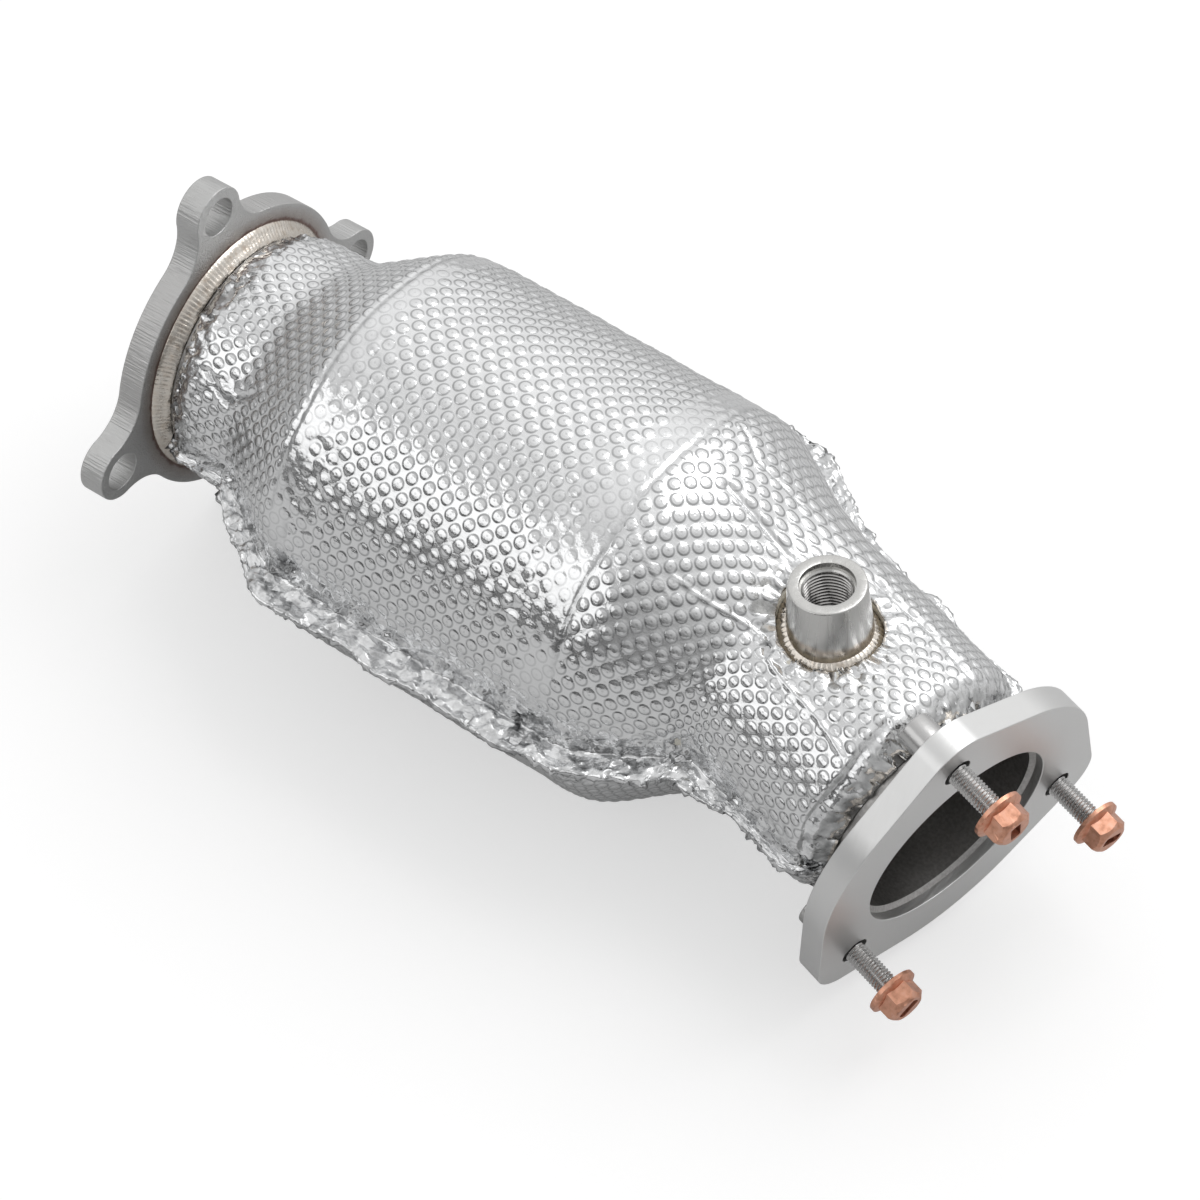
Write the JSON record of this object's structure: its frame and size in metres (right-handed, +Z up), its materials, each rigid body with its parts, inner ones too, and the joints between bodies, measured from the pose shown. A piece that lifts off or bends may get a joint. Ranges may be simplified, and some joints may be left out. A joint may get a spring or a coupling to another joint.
{
  "type": "exhaust downpipe with catalytic converter",
  "caption": "Short bent exhaust downpipe with a canned metal-foil catalyst under a two-piece dimpled foil heat shield, flanged at both ends, with a sensor bung.",
  "frame": {"origin": "centre of the inlet flange's sealing face, on the inlet bore's axis", "axes": "+X down the gas path, square to the inlet face; +Z up, towards the sensor bung; -Y on the side that the outlet bends to"},
  "size_m": [0.3733, 0.1645, 0.1579],
  "materials": {
    "plate_steel": "water-jet cut plate, satin",
    "tube_steel": "stainless tube and turned steel, bright",
    "core_foil": "coated steel foil, matt",
    "weld": "TIG weld, straw tint",
    "screw_steel": "plain steel thread",
    "nut_copper": "copper plating, satin",
    "mat": "needled ceramic fibre",
    "embossed_foil": "bright dimpled foil"
  },
  "bodies": {
    "root": {"inlet_flange": "plate_steel", "outlet_flange": "plate_steel", "neck_tube": "tube_steel", "inlet_cone": "tube_steel", "can_shell": "tube_steel", "outlet_cone": "tube_steel", "outlet_tube": "tube_steel", "sensor_bung": "tube_steel", "core_mantle": "tube_steel", "core_corrugated_foil": "core_foil", "core_flat_foil": "core_foil", "inlet_flange_weld": "weld", "neck_seam": "weld", "can_inlet_seam": "weld", "can_outlet_seam": "weld", "outlet_seam": "weld", "outlet_flange_weld": "weld", "outlet_bore_weld": "weld", "sensor_bung_weld": "weld", "flange_screw_1": "screw_steel", "flange_screw_2": "screw_steel", "flange_screw_3": "screw_steel", "flange_nut_1": "nut_copper", "flange_nut_2": "nut_copper", "flange_nut_3": "nut_copper", "upper_insulation": "mat", "lower_insulation": "mat", "upper_shield": "embossed_foil", "lower_shield": "embossed_foil"}
  },
  "joints": []
}
